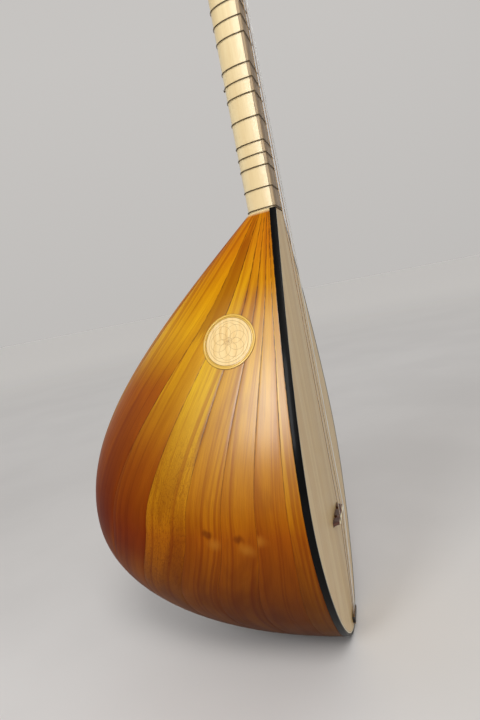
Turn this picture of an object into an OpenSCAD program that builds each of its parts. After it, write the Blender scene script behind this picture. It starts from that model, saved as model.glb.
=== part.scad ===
// Short-neck baglama: a stave-built lute with a deep pear-shaped bowl, tied frets and seven pegs.
// The tail of the soundboard's front face is the origin. +Z runs up the neck, the soundboard
// faces -Y, the bowl swells towards +Y, and the bass side is on -X.

/* [Bowl] */
// Length of the bowl from its tail to the neck joint
bowl_len = 420; // [400:5:440]
// Half the width of the bowl at its widest
bowl_half_w = 120.5; // [112:0.5:128]
// Height of the widest place above the tail
widest_z = 164; // [155:1:175]
// Depth of the bowl behind the soundboard
bowl_depth = 249; // [235:1:260]
// Height of the deepest place above the tail
deepest_z = 143; // [135:1:155]
// Roundness of the cross-section: 2 is an ellipse, more is squarer
roundness = 2.07; // [2:0.01:2.3]
// Thickness of the staves
stave_t = 3; // [2.5:0.1:3.5]
// Widths of the staves round the widest place, from either rim to the middle one
stave_widths = [13, 28, 31.5, 35, 45, 49, 60, 64];
// How far the joints draw in towards the middle stave at the tail
tail_draw = 1.6; // [1:0.1:1.7]
// How far the joints spread towards the rims at the neck
neck_spread = 0.54; // [0.4:0.01:0.56]
// Height of the solid cap that closes the tail
cap_h = 9; // [8:0.5:10]

/* [Soundboard] */
// Thickness of the soundboard
board_t = 3.5; // [3:0.1:4]
// Height of the black binding around the rim
binding_h = 6; // [5:0.5:7]
// Thickness of the binding
binding_t = 2.5; // [2:0.1:2.8]
// Height of the bridge's centre line above the tail
bridge_z = 118; // [112:1:125]
// Height of the bridge above the soundboard, without its saddle strip
bridge_h = 6; // [5:0.5:8]
// Half the length of the bridge
bridge_half = 24; // [22:0.5:28]

/* [Neck] */
// Distance from the bridge to the nut
scale_len = 680; // [672:1:700]
// Half the width of the neck where it meets the bowl
neck_half_joint = 17.5; // [16.5:0.5:18.5]
// Half the width of the neck at the nut
neck_half_nut = 15; // [14:0.5:16]
// Depth of the neck
neck_depth = 29; // [28:0.5:31]
// Thickness of the fingerboard
finger_t = 2.5; // [2:0.1:3]
// Fret positions above the open string, in cents
fret_cents = [99, 151, 204, 303, 355, 408, 498, 597, 649, 702, 801, 853, 906, 996, 1095, 1147, 1200, 1299, 1404];
// Thickness of a tied fret
fret_t = 0.8; // [0.6:0.1:1]
// Width of a tied fret along the neck
fret_w = 1.3; // [1:0.1:1.6]

/* [Head] */
// Length of the head
head_len = 176; // [170:1:190]
// Backward tilt of the head, in degrees
head_tilt = 12; // [8:1:15]
// Radius of a peg's shaft where it enters the head
peg_r = 4; // [3.8:0.1:4.2]
// Radial clearance of a peg in its hole
peg_clear = 0.06; // [0.03:0.01:0.1]
// Half the width of a peg's handle
handle_half = 14; // [12:0.5:14]

/* [Medallion] */
// Radius of the medallion's outer ring
medal_r = 25; // [22:0.5:26]
// Height of the medallion's centre above the tail
medal_z = 312; // [305:1:325]
// Depth of the medallion's centre behind the soundboard
medal_y = 52; // [45:1:55]

/* [Hidden] */
HALF_STAVES = len(stave_widths) - 1;
STAVES = 2 * HALF_STAVES + 1;
STATIONS = 26;
ACROSS = 4;
SECTION_POINTS = 32;
GAP = 0.1;
FRET_CLEAR = 0.15;
NUT_Z = bridge_z + scale_len;
NUT_HALF = 2;
HEAD_Z = NUT_Z + NUT_HALF + 0.7;
STRING_Y_NUT = -1.85;
STRING_Y_BRIDGE = -bridge_h - 1.3;
STRING_Y_HOLDER = -1.6;
PEG_TAPER = 0.025;
PEG_SHOW = 14;
WIND_AT = 5;
WIND_OFFSET = peg_r + PEG_TAPER * WIND_AT + 0.27;
SIDE_PEG_Y = 9;
HOLE_Y = 45;
HOLE_R = 9;
BUSH_R = 11.5;
FLANGE_R = 13;
FLANGE_Z = [0.4, 2];
BLOCK_Z = 372;
HOLDER_Z = [8, 14];

// Front pegs: [x, height up the head]; side pegs: height up the head
FRONT_PEGS = [[3, 30], [4, 66], [5.2, 102], [6.5, 138]];
SIDE_PEGS = [48, 84, 120];
// Head sections: [height up the head, half-width, depth, roundness]
HEAD = [[0, 15, 29.6, 2.1], [22, 15.5, 25, 4], [70, 16, 23, 4], [head_len - 8, 17.5, 20, 4],
    [head_len - 2, 16.5, 19, 4], [head_len, 14.5, 17.5, 4]];

// Strings: [x at the holder, x at the bridge, x at the nut, radius]
STRINGS = [[-9, -18.5, -10.5, 0.28], [-6, -16.5, -9, 0.2], [-3, -1, -0.75, 0.28], [0, 1, 0.75, 0.2],
    [3, 14.5, 8, 0.16], [6, 16.5, 9.5, 0.16], [9, 18.5, 11, 0.16]];
WOUND = [0, 2];
PLAIN = [1, 3, 4, 5, 6];

function two(n) = n < 10 ? str("0", n) : str(n);

// ---- curves ----
function bezier(p, t) =
    let (s = 1 - t) p[0] * s * s * s + 3 * p[1] * s * s * t + 3 * p[2] * s * t * t + p[3] * t * t * t;
function curve(c, u) = u < 1 ? bezier(c[0], u) : bezier(c[1], u - 1);
// A half outline from the tail to its widest place and on to the neck joint
function half_outline(wide, z, end, tail_pull, wide_pull, top_pull, slope) =
    let (rest = bowl_len - z, reach = 0.35 * rest)
    [[[0, 0], [tail_pull * wide, 0], [wide, z * (1 - wide_pull)], [wide, z]],
     [[wide, z], [wide, z + top_pull * rest], [end + slope * reach, bowl_len - reach], [end, bowl_len]]];
PLAN_SLOPE = 0.56;
PLAN = half_outline(bowl_half_w, widest_z, neck_half_joint, 0.485, 0.39, 0.287, PLAN_SLOPE);
PROFILE = half_outline(bowl_depth, deepest_z, neck_depth, 0.568, 0.586, 0.357, 1.267);
function u_at(c, z, lo = 0, hi = 2, n = 22) =
    let (mid = (lo + hi) / 2)
    n == 0 ? mid : curve(c, mid)[1] < z ? u_at(c, z, mid, hi, n - 1) : u_at(c, z, lo, mid, n - 1);
function reach_at(c, z) = curve(c, u_at(c, z))[0];
function slope_at(c, z) =
    let (a = z - 0.5, b = min(z + 0.5, bowl_len)) (reach_at(c, b) - reach_at(c, a)) / (b - a);

// ---- cross-sections: half superellipses open towards the front ----
function section_pt(w, d, p, phi) =
    [-w * sign(cos(phi)) * pow(abs(cos(phi)), 2 / p), d * pow(sin(phi), 2 / p)];
// The closed section behind the plane y = front
function section(w, d, p, front = 0, n = SECTION_POINTS) =
    let (first = asin(pow(front / d, p / 2)))
    [for (i = [0:n - 1]) section_pt(w, d, p, first + (180 - 2 * first) * i / (n - 1))];
function at_z(pts, z) = [for (p = pts) [p[0], p[1], z]];

// ---- bowl surface ----
// The girth at one height, as [share of the girth, angle] pairs
function girth_pts(w, d) = [for (i = [0:60]) section_pt(w, d, roundness, 3 * i)];
function running(pts) =
    [for (i = 0, s = 0; i < len(pts); s = s + (i + 1 < len(pts) ? norm(pts[i + 1] - pts[i]) : 0), i = i + 1) s];
function station(z) =
    let (w = reach_at(PLAN, z), d = reach_at(PROFILE, z), run = running(girth_pts(w, d)), girth = run[60])
    [z, w, d, slope_at(PLAN, z), slope_at(PROFILE, z), girth, [for (i = [0:60]) [run[i] / girth, 3 * i]]];
FIRST_U = u_at(PLAN, cap_h);
LAST_U = u_at(PLAN, bowl_len - GAP);
BOWL = [for (i = [0:STATIONS]) station(curve(PLAN, FIRST_U + (LAST_U - FIRST_U) * i / STATIONS)[1])];
// Outward normal from the implicit form of the section
function bowl_normal(x, y, w, d, dw, dd) =
    let (cx = abs(x) / w, cy = y / d,
         g = [sign(x) * pow(cx, roundness - 1) / w, pow(cy, roundness - 1) / d,
              -pow(cx, roundness) * dw / w - pow(cy, roundness) * dd / d])
    g / norm(g);
// A point of the shell, held behind the binding
function shell_pt(s, share, inward) =
    let (q = section_pt(s[1], s[2], roundness, lookup(share, s[6])),
         p = [q[0], q[1], s[0]] - inward * bowl_normal(q[0], q[1], s[1], s[2], s[3], s[4]))
    [p[0], max(p[1], binding_h + GAP), p[2]];

// ---- staves ----
function total(v, n) = n == 0 ? 0 : v[n - 1] + total(v, n - 1);
ALL_WIDTHS = 2 * total(stave_widths, HALF_STAVES) + stave_widths[HALF_STAVES];
// Rises evenly from 0 to 1, with both corners rounded
function ease(t) = t < -0.15 ? 0 : t < 0.15 ? pow(t + 0.15, 2) / 0.6
    : t < 0.85 ? t : t < 1.15 ? 1 - pow(1.15 - t, 2) / 0.6 : 1;
// Above 1 the joints lie nearer the middle stave, and below 1 nearer the rims
function fan(z) = 1 - neck_spread * ease((z - widest_z) / 182)
    + tail_draw * (1 - exp(-0.77 * pow(max(0, widest_z - z) / 100, 2)));
function side_share(k, z) = max(0.014 * k, (1 - pow(1 - 2 * total(stave_widths, k) / ALL_WIDTHS, fan(z))) / 2);
// Share of the girth between the bindings that lies below joint k. The middle three staves take what
// the others leave, in the ratio of their widths.
function joint_share(k, z) = k < HALF_STAVES ? side_share(k, z) :
    let (side = side_share(k - 1, z))
    side + (1 - 2 * side) * stave_widths[k - 1] / (2 * stave_widths[k - 1] + stave_widths[k]);
// Share of the whole girth at which joint k lies, counted from the bass rim. Joint 0 and the last
// lie on the bindings.
function joint_at(k, s) =
    let (rim = (binding_h + GAP / 2) / s[5])
    k > STAVES / 2 ? 1 - joint_at(STAVES - k, s) : rim + (1 - 2 * rim) * joint_share(k, s[0]);
function stave_ring(k, s) =
    let (a = joint_at(k - 1, s) + GAP / 2 / s[5], b = joint_at(k, s) - GAP / 2 / s[5])
    concat([for (j = [0:ACROSS]) shell_pt(s, a + (b - a) * j / ACROSS, 0)],
           [for (j = [ACROSS:-1:0]) shell_pt(s, a + (b - a) * j / ACROSS, stave_t)]);

// ---- shared solids ----
// A closed solid through equal loops of points, its ends closed by rungs across each loop
module loft(rings) {
    n = len(rings[0]);
    m = len(rings);
    sides = [for (i = [0:m - 2]) for (j = [0:n - 1])
        let (a = i * n + j, b = i * n + (j + 1) % n) each [[a, b, b + n], [a, b + n, a + n]]];
    rungs = [for (j = [0:n / 2 - 2]) each [[j, n - 1 - j, n - 2 - j], [j, n - 2 - j, j + 1]]];
    top = (m - 1) * n;
    polyhedron([for (r = rings) each r],
        concat(sides, rungs, [for (f = rungs) [f[0] + top, f[2] + top, f[1] + top]]));
}
// A flat plate standing behind the plane y = front
module plate(front, thick) {
    translate([0, front + thick, 0]) rotate([90, 0, 0]) linear_extrude(thick) children();
}
// The board's outline, moved in by inset and closed at the neck joint
module outline(inset, top = bowl_len) {
    half = [for (i = [0:64]) let (
        a = curve(PLAN, max(0, i / 32 - 0.002)), b = curve(PLAN, min(2, i / 32 + 0.002)),
        t = (b - a) / norm(b - a), p = curve(PLAN, i / 32)) [p[0] - inset * t[1], p[1] + inset * t[0]]];
    edge = neck_half_joint - inset * sqrt(1 + PLAN_SLOPE * PLAN_SLOPE);
    side = concat([[0, inset]], [for (p = half) if (p[0] > 0.5 && p[1] < bowl_len - 1.5) p], [[edge, top]]);
    polygon(concat(side, [for (i = [len(side) - 1:-1:1]) [-side[i][0], side[i][1]]]));
}
// A thin round thread through a list of points
module thread(path, r, sides = 8) {
    n = len(path);
    loft([for (i = [0:n - 1]) let (
        t = path[min(i + 1, n - 1)] - path[max(i - 1, 0)], a = cross(t, [1, 0, 0]), u = a / norm(a),
        v = cross(t, u) / norm(t)) [for (j = [0:sides - 1])
            path[i] + r * (u * cos(360 * j / sides) + v * sin(360 * j / sides))]]);
}
module in_head() {
    translate([0, 0, HEAD_Z]) rotate([-head_tilt, 0, 0]) children();
}
function head_pt(p) = [p[0], p[1] * cos(head_tilt) + p[2] * sin(head_tilt),
    HEAD_Z - p[1] * sin(head_tilt) + p[2] * cos(head_tilt)];
function head_half(z) = lookup(z, [for (h = HEAD) [h[0], h[1]]]);
function head_depth(z) = lookup(z, [for (h = HEAD) [h[0], h[2]]]);
function neck_half(z) =
    neck_half_joint + (neck_half_nut - neck_half_joint) * (z - bowl_len) / (NUT_Z - bowl_len);

// ---- bowl parts ----
MEDAL_W = reach_at(PLAN, medal_z);
MEDAL_D = reach_at(PROFILE, medal_z);
MEDAL_X = -MEDAL_W * pow(1 - pow(medal_y / MEDAL_D, roundness), 1 / roundness);
MEDAL_N = bowl_normal(MEDAL_X, medal_y, MEDAL_W, MEDAL_D, slope_at(PLAN, medal_z), slope_at(PROFILE, medal_z));
MEDAL_SINK = 1.3;
module on_medallion() {
    translate([MEDAL_X, medal_y, medal_z])
        rotate([0, acos(MEDAL_N[2]), atan2(MEDAL_N[1], MEDAL_N[0])]) children();
}
module stave(k) {
    color(k % 2 == 0 ? "peru" : "goldenrod") difference() {
        loft([for (s = BOWL) stave_ring(k, s)]);
        if (k > 1 && k < 7) on_medallion() translate([0, 0, -MEDAL_SINK]) cylinder(h = 8, r = medal_r + GAP);
    }
}
module tail_cap() {
    color("saddlebrown") difference() {
        loft([for (i = [0:12]) let (z = 0.06 + (cap_h - GAP - 0.06) * pow(i / 12, 2))
            at_z(section(reach_at(PLAN, z), reach_at(PROFILE, z), roundness, binding_h + GAP), z)]);
        translate([0, HOLE_Y, -1]) cylinder(h = cap_h + 2, r = BUSH_R + GAP);
        translate([0, HOLE_Y, -1]) cylinder(h = FLANGE_Z[1] + 1 + GAP, r = FLANGE_R + GAP);
    }
}
module sound_hole_bush() {
    color("black") translate([0, HOLE_Y, 0]) difference() {
        union() {
            translate([0, 0, FLANGE_Z[0]]) cylinder(h = FLANGE_Z[1] - FLANGE_Z[0], r = FLANGE_R);
            translate([0, 0, FLANGE_Z[0]]) cylinder(h = cap_h + 0.4, r = BUSH_R);
        }
        translate([0, 0, -1]) cylinder(h = cap_h + 4, r = HOLE_R);
    }
}
module binding() {
    color("black") plate(0, binding_h) difference() {
        outline(0);
        outline(binding_t, bowl_len + 1);
    }
}
module soundboard() {
    color("burlywood") plate(0, board_t) outline(binding_t + GAP);
}
module lining() {
    color("tan") plate(board_t + GAP, 6) intersection() {
        difference() {
            outline(stave_t + 0.6);
            outline(stave_t + 5);
        }
        translate([-bowl_half_w, 30]) square([2 * bowl_half_w, BLOCK_Z - 40]);
    }
}
module brace() {
    half = reach_at(PLAN, 205) - stave_t - 6;
    color("tan") plate(board_t + GAP, 10) translate([-half, 202]) square([2 * half, 6]);
}
module neck_block() {
    color("tan") loft([for (i = [0:6]) let (z = BLOCK_Z + (bowl_len - 0.5 - BLOCK_Z) * i / 6)
        at_z(section(reach_at(PLAN, z) - stave_t - 1.1, reach_at(PROFILE, z) - stave_t - 2.6, roundness,
            board_t + GAP), z)]);
}
module tail_block() {
    color("tan") translate([-22, board_t + GAP, cap_h]) cube([44, 26, 16]);
}
module medallion_ring() {
    color("goldenrod") on_medallion() translate([0, 0, -MEDAL_SINK + GAP / 2]) difference() {
        cylinder(h = 2.4, r = medal_r);
        translate([0, 0, -1]) cylinder(h = 5, r = medal_r - 2.2);
    }
}
module medallion_disc() {
    color("wheat") on_medallion() translate([0, 0, -MEDAL_SINK + GAP / 2]) cylinder(h = 2, r = medal_r - 2.3);
}

// ---- neck parts ----
module neck() {
    foot = at_z(section(neck_half_joint, neck_depth, roundness, finger_t + GAP / 2), bowl_len);
    top = section(neck_half_nut, neck_depth, roundness, finger_t + GAP / 2);
    color("wheat") loft([foot, [for (p = top) [p[0], p[1], HEAD_Z - GAP / 2 - p[1] * tan(head_tilt)]]]);
}
module fingerboard() {
    foot = bowl_len + GAP / 2;
    top = NUT_Z - NUT_HALF - GAP / 2;
    color("tan") plate(0, finger_t) polygon([[-neck_half(foot), foot], [neck_half(foot), foot],
        [neck_half(top), top], [-neck_half(top), top]]);
}
module nut() {
    crown_y = STRING_Y_NUT + 0.35 + NUT_HALF;
    color("ivory") translate([-neck_half_nut, 0, NUT_Z]) {
        translate([0, crown_y, 0]) rotate([0, 90, 0]) cylinder(h = 2 * neck_half_nut, r = NUT_HALF);
        translate([0, crown_y, -NUT_HALF]) cube([2 * neck_half_nut, finger_t - crown_y, 2 * NUT_HALF]);
    }
}
module fret(i) {
    z = max(bridge_z + scale_len * pow(2, -fret_cents[i] / 1200), bowl_len + 0.5 + fret_w / 2);
    half = neck_half(z) + FRET_CLEAR;
    deep = neck_depth + 2 * FRET_CLEAR;
    color("darkolivegreen") translate([0, -FRET_CLEAR, z - fret_w / 2]) linear_extrude(fret_w) difference() {
        translate([0, -fret_t]) polygon(section(half + fret_t, deep + 2 * fret_t, roundness));
        polygon(section(half, deep, roundness));
    }
}

// ---- head parts ----
module peg_hole(inside) {
    translate([0, 0, -inside - 3]) cylinder(h = inside + 6,
        r1 = peg_r + peg_clear - PEG_TAPER * (inside + 3), r2 = peg_r + peg_clear + PEG_TAPER * 3);
}
module peg(inside, turn) {
    tip = inside + 1.5;
    color("saddlebrown") {
        translate([0, 0, -tip]) cylinder(h = tip + PEG_SHOW + 4, r1 = peg_r - PEG_TAPER * tip,
            r2 = peg_r + PEG_TAPER * (PEG_SHOW + 4));
        translate([0, 0, PEG_SHOW]) cylinder(h = 2, r = peg_r + 1.4);
        rotate([90, 0, turn]) linear_extrude(8, center = true) hull() {
            for (side = [-1, 1]) translate([side * (handle_half - 4.5), PEG_SHOW + 11]) circle(r = 4.5, $fn = 32);
            translate([0, PEG_SHOW + 6]) circle(r = 4.6, $fn = 32);
        }
    }
}
module at_front_peg(i) {
    in_head() translate([FRONT_PEGS[i][0], 0, FRONT_PEGS[i][1]]) rotate([90, 0, 0]) children();
}
module at_side_peg(i) {
    in_head() translate([-head_half(SIDE_PEGS[i]), SIDE_PEG_Y, SIDE_PEGS[i]]) rotate([0, -90, 0]) children();
}
module headstock() {
    color("wheat") difference() {
        in_head() loft([for (h = HEAD) at_z(section(h[1], h[2], h[3]), h[0])]);
        for (i = [0:3]) at_front_peg(i) peg_hole(head_depth(FRONT_PEGS[i][1]));
        for (i = [0:2]) at_side_peg(i) peg_hole(2 * head_half(SIDE_PEGS[i]));
    }
}
// Pegs 1 to 4 stand on the front of the head and 5 to 7 on its bass side
module numbered_peg(n) {
    if (n <= 4) at_front_peg(n - 1) peg(head_depth(FRONT_PEGS[n - 1][1]), 25 + 50 * n);
    if (n > 4) at_side_peg(n - 5) peg(2 * head_half(SIDE_PEGS[n - 5]), 10 + 40 * n);
}

// ---- bridge and strings ----
module bridge() {
    color("darkred") translate([0, 0, bridge_z - 2.6]) linear_extrude(5.2) difference() {
        polygon([[-bridge_half, -GAP / 2], [bridge_half, -GAP / 2], [bridge_half - 2, -3.4],
            [bridge_half - 3.5, -bridge_h], [-bridge_half + 3.5, -bridge_h], [-bridge_half + 2, -3.4]]);
        for (x = [-1, 1] * bridge_half * 0.42) translate([x, 0]) scale(1) circle(r = 3.2);
    }
}
module bridge_saddle() {
    color("ivory") translate([-bridge_half + 4, -bridge_h - 1, bridge_z - 1])
        cube([2 * bridge_half - 8, 1 - GAP / 2, 2]);
}
module string_holder() {
    height = HOLDER_Z[1] - HOLDER_Z[0];
    color("black") difference() {
        translate([-12, -3, HOLDER_Z[0]]) cube([24, 3 - GAP / 2, height]);
        for (s = STRINGS) translate([s[0], STRING_Y_HOLDER, HOLDER_Z[0] - 1]) cylinder(h = height + 2, r = 0.6);
    }
}
// Where each string leaves the nut: front pegs take strings 4 to 7, side pegs strings 1 to 3
function peg_end(i) = i < 3
    ? let (z = SIDE_PEGS[i], half = head_half(z - 12))
      [head_pt([-half - 0.45, -0.45, z - 12]), head_pt([-head_half(z) - WIND_AT, SIDE_PEG_Y - WIND_OFFSET, z])]
    : let (p = FRONT_PEGS[i - 3], side = i == 3 ? -1 : 1) [head_pt([p[0] + side * WIND_OFFSET, -WIND_AT, p[1]])];
module string_of(i) {
    s = STRINGS[i];
    thread(concat([[s[0], STRING_Y_HOLDER, HOLDER_Z[0] - 1.5], [s[0], STRING_Y_HOLDER, HOLDER_Z[1] + 0.5],
        [s[1], STRING_Y_BRIDGE, bridge_z], [s[2], STRING_Y_NUT, NUT_Z]], peg_end(i)), s[3]);
}
module strings_wound() {
    color("peru") for (i = WOUND) string_of(i);
}
module strings_plain() {
    color("silver") for (i = PLAIN) string_of(i);
}

for (i = [1:STAVES]) stave(i);
tail_cap();
binding();
soundboard();
lining();
brace();
neck_block();
tail_block();
sound_hole_bush();
medallion_ring();
medallion_disc();
neck();
fingerboard();
headstock();
nut();
bridge();
bridge_saddle();
string_holder();
strings_wound();
strings_plain();
for (i = [1:7]) numbered_peg(i);
for (i = [1:len(fret_cents)]) fret(i - 1);
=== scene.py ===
"""Looks of the short-neck baglama: lacquered staves, tied frets, wound strings and carved pegs.

The shapes repeat the curves of the part's own source. Sizes that the frame holds are read from it.
"""
import math

import bmesh
import bpy
import numpy as np
from mathutils import Matrix, Vector


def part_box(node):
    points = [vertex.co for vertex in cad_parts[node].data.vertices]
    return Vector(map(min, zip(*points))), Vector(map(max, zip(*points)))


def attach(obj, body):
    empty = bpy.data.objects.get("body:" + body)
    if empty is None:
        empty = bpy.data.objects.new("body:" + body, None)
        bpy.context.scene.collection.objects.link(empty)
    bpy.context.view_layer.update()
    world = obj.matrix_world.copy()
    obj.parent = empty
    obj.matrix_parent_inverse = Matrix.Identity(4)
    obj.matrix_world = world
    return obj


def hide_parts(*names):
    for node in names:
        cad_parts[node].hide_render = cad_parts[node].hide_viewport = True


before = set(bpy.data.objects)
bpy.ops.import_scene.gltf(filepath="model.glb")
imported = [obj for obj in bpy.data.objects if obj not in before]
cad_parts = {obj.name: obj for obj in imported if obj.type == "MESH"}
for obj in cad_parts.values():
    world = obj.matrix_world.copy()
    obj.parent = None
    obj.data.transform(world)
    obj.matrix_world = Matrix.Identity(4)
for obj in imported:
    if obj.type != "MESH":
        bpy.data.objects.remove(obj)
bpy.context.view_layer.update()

MM = 0.001
ROOT = "instrument"


def low(node):
    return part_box(node)[0]


def high(node):
    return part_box(node)[1]


def middle(node):
    return (low(node).z + high(node).z) / 2


# ---- sizes, from the frame ----
GAP = 0.1 * MM
BOWL_LEN, BOWL_HALF, BINDING_H = high("binding").z, high("binding").x, high("binding").y
BINDING_T = BOWL_HALF - high("soundboard").x - GAP
BOARD_T = high("soundboard").y
BOWL_DEPTH = high("stave_08").y
CAP_TOP = high("tail_cap").z
NECK_HALF, NECK_DEPTH = high("neck").x, high("neck").y
NUT_HALF_W = high("nut").x
FINGER_T, FINGER_TOP = high("fingerboard").y, high("fingerboard").z
NUT_Z = middle("nut")
HEAD_Z = high("nut").z + 0.7 * MM
BRIDGE_Z, BRIDGE_Y, BRIDGE_HALF = middle("bridge"), low("bridge").y, high("bridge").x

# ---- the shape of the bowl, as in the part ----
STAVES = 15
STAVE_T = 3 * MM
ROUNDNESS = 2.07
WIDEST_Z, DEEPEST_Z = 164 * MM, 143 * MM
PLAN_PULL, PLAN_SLOPE = (0.485, 0.39, 0.287), 0.56
PROFILE_PULL, PROFILE_SLOPE = (0.568, 0.586, 0.357), 1.267
STAVE_WIDTHS = (13, 28, 31.5, 35, 45, 49, 60, 64)
ALL_WIDTHS = 2 * sum(STAVE_WIDTHS[:-1]) + STAVE_WIDTHS[-1]
TAIL_DRAW, NECK_SPREAD = 1.6, 0.54
SPREAD_RISE, SPREAD_EASE = 182 * MM, 0.15
HOLE_Y = 45 * MM

# ---- strings and pegs, as in the part, in millimetres: x at holder, bridge and nut, then radius ----
STRINGS = ((-9, -18.5, -10.5, 0.28), (-6, -16.5, -9, 0.2), (-3, -1, -0.75, 0.28), (0, 1, 0.75, 0.2),
           (3, 14.5, 8, 0.16), (6, 16.5, 9.5, 0.16), (9, 18.5, 11, 0.16))
WOUND = (0, 2)
FRONT_PEGS = ((3, 30), (4, 66), (5.2, 102), (6.5, 138))
SIDE_PEGS = (48, 84, 120)
SIDE_PEG_Y = 9
PEG_R, PEG_TAPER = 4, 0.025
WIND_AT = 5
WIND_OFFSET = PEG_R + PEG_TAPER * WIND_AT + 0.27
HOLDER_Y, NUT_Y = -1.6, -1.85
HEAD_TILT = math.radians(12)
HEAD_SECTIONS = ((0, 15, 29.6, 2.1), (22, 15.5, 25, 4), (70, 16, 23, 4), (168, 17.5, 20, 4),
                 (174, 16.5, 19, 4), (176, 14.5, 17.5, 4))


# ---- curves ----
def xyz(*columns):
    """Points or vectors from their coordinates, each an array or one number for all."""
    return np.stack(np.broadcast_arrays(*columns), -1)


def bezier(points, t):
    a, b, c, d = (np.array(p, float) for p in points)
    t = t[:, None]
    return a * (1 - t) ** 3 + 3 * b * (1 - t) ** 2 * t + 3 * c * (1 - t) * t ** 2 + d * t ** 3


HALF_STEPS, HALVINGS = 600, 40
U = np.concatenate([np.linspace(0, 1, HALF_STEPS), np.linspace(1, 2, HALF_STEPS)[1:]])


def half_outline(wide, z, end, pull, slope):
    """(reach, height) at each of U, from the tail to the widest place and on to the neck joint."""
    rest, reach = BOWL_LEN - z, 0.35 * (BOWL_LEN - z)
    lower = bezier([(0, 0), (pull[0] * wide, 0), (wide, z * (1 - pull[1])), (wide, z)], U[:HALF_STEPS])
    upper = bezier([(wide, z), (wide, z + pull[2] * rest), (end + slope * reach, BOWL_LEN - reach),
                    (end, BOWL_LEN)], U[HALF_STEPS:] - 1)
    return np.vstack([lower, upper])


PLAN = half_outline(BOWL_HALF, WIDEST_Z, NECK_HALF, PLAN_PULL, PLAN_SLOPE)
PROFILE = half_outline(BOWL_DEPTH, DEEPEST_Z, NECK_DEPTH, PROFILE_PULL, PROFILE_SLOPE)


def unit(v):
    return v / np.linalg.norm(v, axis=-1, keepdims=True)


def reach_at(curve, z):
    return np.interp(z, curve[:, 1], curve[:, 0])


def slope_at(curve, z):
    a, b = z - 0.5 * MM, np.minimum(z + 0.5 * MM, BOWL_LEN)
    return (reach_at(curve, b) - reach_at(curve, a)) / (b - a)


def section(w, d, p, phi):
    """Points of a half superellipse that bulges towards +Y."""
    c, s = np.cos(phi), np.clip(np.sin(phi), 0, None)
    return xyz(-w * np.sign(c) * np.abs(c) ** (2 / p), d * s ** (2 / p))


def bowl_normal(p):
    """Outward unit normals of the bowl at points on or near it."""
    x, y, z = p[..., 0], np.clip(p[..., 1], 0, None), p[..., 2]
    w, d = reach_at(PLAN, z), reach_at(PROFILE, z)
    cx, cy = np.abs(x) / w, y / d
    return unit(xyz(np.sign(x) * cx ** (ROUNDNESS - 1) / w, cy ** (ROUNDNESS - 1) / d,
                    -cx ** ROUNDNESS * slope_at(PLAN, z) / w
                    - cy ** ROUNDNESS * slope_at(PROFILE, z) / d))


def outside(p):
    """Above 0 outside the bowl and below 0 inside."""
    z = np.clip(p[..., 2], 1e-6, BOWL_LEN)
    return ((np.abs(p[..., 0]) / reach_at(PLAN, z)) ** ROUNDNESS
            + (np.clip(p[..., 1], 0, None) / reach_at(PROFILE, z)) ** ROUNDNESS - 1)


def onto_bowl(start, step, near, far):
    """Where each line start + t * step crosses the bowl, between t = near (inside) and far (outside)."""
    lo, hi = np.full(len(start), near), np.full(len(start), far)
    for _ in range(HALVINGS):
        mid = (lo + hi) / 2
        out = outside(start + mid[:, None] * step) > 0
        lo, hi = np.where(out, lo, mid), np.where(out, mid, hi)
    return start + hi[:, None] * step


def smooth(t):
    t = np.clip(t, 0, 1)
    return t * t * (3 - 2 * t)


def circle(count):
    """The angles of a full turn in equal steps."""
    return np.linspace(0, 2 * np.pi, count, endpoint=False)


def inset_outline(inset):
    """The board's half outline moved in by inset, as (reach, height)."""
    t = unit(np.gradient(PLAN, axis=0))
    inner = PLAN + inset * xyz(-t[:, 1], t[:, 0])
    return np.vstack([[0, inset], inner[inner[:, 0] > 0]])


# ---- object and mesh helpers ----
def new_object(name, data):
    obj = bpy.data.objects.new(name, data)
    bpy.context.scene.collection.objects.link(obj)
    return obj


def mesh_object(name, verts, faces, material, **attributes):
    """A smooth mesh. An attribute is an array of one number or one vector for each vertex."""
    mesh = bpy.data.meshes.new(name)
    mesh.from_pydata(np.asarray(verts, float).tolist(), [], faces)
    mesh.polygons.foreach_set("use_smooth", [True] * len(mesh.polygons))
    for key, values in attributes.items():
        values = np.asarray(values, np.float32)
        kind, field = ("FLOAT", "value") if values.ndim == 1 else ("FLOAT_VECTOR", "vector")
        mesh.attributes.new(key, kind, "POINT").data.foreach_set(field, values.ravel())
    mesh.materials.append(material)
    return new_object(name, mesh)


def tidy_mesh(obj, crease=40):
    """Welds doubled points, turns the faces outwards and keeps edges over crease degrees crisp."""
    bm = bmesh.new()
    bm.from_mesh(obj.data)
    bmesh.ops.remove_doubles(bm, verts=bm.verts, dist=1e-7)
    bmesh.ops.recalc_face_normals(bm, faces=bm.faces)
    for e in bm.edges:
        e.smooth = len(e.link_faces) != 2 or e.calc_face_angle(0) < math.radians(crease)
    bm.to_mesh(obj.data)
    bm.free()
    return obj


def loft(name, rings, material, ring=False, crease=40, **attributes):
    """A solid through equal closed loops. ring joins the last loop to the first."""
    rings = np.asarray(rings, float)
    rows, cols = rings.shape[:2]
    faces = []
    for i in range(rows if ring else rows - 1):
        a, b = i * cols, (i + 1) % rows * cols
        faces += [(a + j, a + (j + 1) % cols, b + (j + 1) % cols, b + j) for j in range(cols)]
    if not ring:
        faces += [tuple(range(cols))[::-1], tuple(range((rows - 1) * cols, rows * cols))]
    flat = {key: np.asarray(v, float).reshape((rows * cols,) + np.asarray(v).shape[2:])
            for key, v in attributes.items()}
    flat.setdefault("grain", rings.reshape(-1, 3)[:, [2, 0, 1]])
    return tidy_mesh(mesh_object(name, rings.reshape(-1, 3), faces, material, **flat), crease)


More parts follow.
